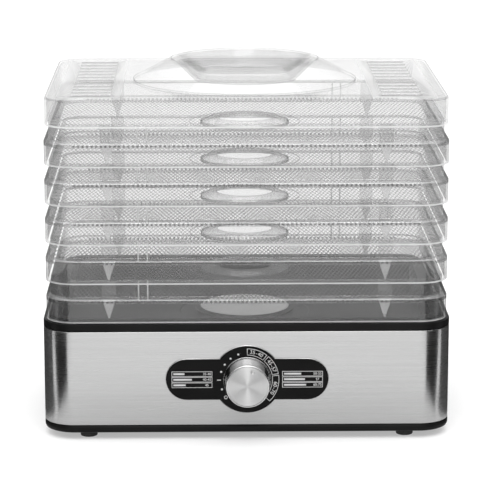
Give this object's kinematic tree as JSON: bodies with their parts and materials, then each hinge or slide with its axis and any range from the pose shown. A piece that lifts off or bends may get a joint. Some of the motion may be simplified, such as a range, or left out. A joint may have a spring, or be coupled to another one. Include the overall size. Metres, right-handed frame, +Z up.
{
  "type": "food dehydrator",
  "caption": "Tabletop food dehydrator: rectangular fan-heated base with a temperature knob, stacked clear mesh-floored trays and a vented clear lid.",
  "frame": {"origin": "centre of the bounding box, on the surface that the feet stand on", "axes": "+X to the right seen from the front, +Y to the back, +Z up; the control knob is on the -Y side"},
  "size_m": [0.333, 0.28, 0.2975],
  "materials": {
    "black_plastic": "fine satin texture, moulded",
    "brushed_steel": "brushed along the band",
    "light_grey_plastic": "satin moulded",
    "sheet_metal": "plain aluminised sheet",
    "mica_card": "layered mica card",
    "coil_wire": "oxidised resistance wire",
    "bright_steel": "turned steel",
    "fan_plastic": "moulded",
    "ceramic_white": "glazed ceramic",
    "thermostat_body": "brown phenolic moulding",
    "satin_chrome": "polished side wall",
    "spun_aluminium": "spun in circles",
    "gloss_black": "gloss with printed marks",
    "print_white": "printed ink",
    "black_rubber": "matte",
    "wire_insulation": "silicone sleeve",
    "zinc_screw": "zinc plated",
    "clear_plastic": "clear polished",
    "lid_plastic": "clear polished",
    "frosted_plastic": "clear with a fine frosting"
  },
  "bodies": {
    "base": {"base_pan": "black_plastic", "top_cover": "black_plastic", "well_floor": "black_plastic", "steel_band": "brushed_steel", "outlet_disc": "light_grey_plastic", "heater_duct": "sheet_metal", "motor_bracket": "sheet_metal", "fan_motor": "sheet_metal", "heater_support": "mica_card", "heating_coil": "coil_wire", "thermal_fuse": "ceramic_white", "thermostat": "thermostat_body", "terminal_block": "ceramic_white", "control_panel": "gloss_black", "cord_gland": "black_rubber", "wire_supply": "wire_insulation", "wire_thermostat": "wire_insulation", "wire_heater": "wire_insulation", "wire_motor": "wire_insulation", "foot_1": "black_rubber", "pan_screw_1": "zinc_screw", "foot_2": "black_rubber", "pan_screw_2": "zinc_screw", "foot_3": "black_rubber", "pan_screw_3": "zinc_screw", "foot_4": "black_rubber", "pan_screw_4": "zinc_screw", "bracket_screw_1": "zinc_screw", "duct_screw_1": "zinc_screw", "bracket_screw_2": "zinc_screw", "duct_screw_2": "zinc_screw"},
    "knob": {"knob_shaft": "bright_steel", "knob_body": "satin_chrome", "knob_cap": "spun_aluminium"},
    "fan": {"fan_shaft": "bright_steel", "fan_impeller": "fan_plastic"},
    "tray_5": {"tray_5_frame": "clear_plastic", "tray_5_floor": "clear_plastic", "tray_5_hub": "clear_plastic"},
    "tray_4": {"tray_4_frame": "clear_plastic", "tray_4_floor": "clear_plastic", "tray_4_hub": "clear_plastic"},
    "tray_3": {"tray_3_frame": "clear_plastic", "tray_3_floor": "clear_plastic", "tray_3_hub": "clear_plastic"},
    "tray_2": {"tray_2_frame": "clear_plastic", "tray_2_floor": "clear_plastic", "tray_2_hub": "clear_plastic"},
    "tray_1": {"tray_1_frame": "clear_plastic", "tray_1_floor": "clear_plastic", "tray_1_hub": "clear_plastic"},
    "lid": {"lid_box": "lid_plastic", "lid_dome": "lid_plastic", "lid_grip": "lid_plastic"}
  },
  "joints": [
    {"name": "knob_turn", "type": "hinge", "parent": "base", "child": "knob", "pos_m": [0, -0.12955, 0.051], "axis": [0, 1, 0], "range_deg": [-149, 116]},
    {"name": "fan_spin", "type": "hinge", "parent": "base", "child": "fan", "pos_m": [0, 0.01045, 0.05], "axis": [0, 0, 1], "continuous": true},
    {"name": "tray_5_lift", "type": "slide", "parent": "base", "child": "tray_5", "axis": [0, 0, 1], "range_m": [0, 0.05]},
    {"name": "tray_4_lift", "type": "slide", "parent": "tray_5", "child": "tray_4", "axis": [0, 0, 1], "range_m": [0, 0.05]},
    {"name": "tray_3_lift", "type": "slide", "parent": "tray_4", "child": "tray_3", "axis": [0, 0, 1], "range_m": [0, 0.05]},
    {"name": "tray_2_lift", "type": "slide", "parent": "tray_3", "child": "tray_2", "axis": [0, 0, 1], "range_m": [0, 0.05]},
    {"name": "tray_1_lift", "type": "slide", "parent": "tray_2", "child": "tray_1", "axis": [0, 0, 1], "range_m": [0, 0.05]},
    {"name": "lid_lift", "type": "slide", "parent": "tray_1", "child": "lid", "axis": [0, 0, 1], "range_m": [0, 0.06]}
  ]
}
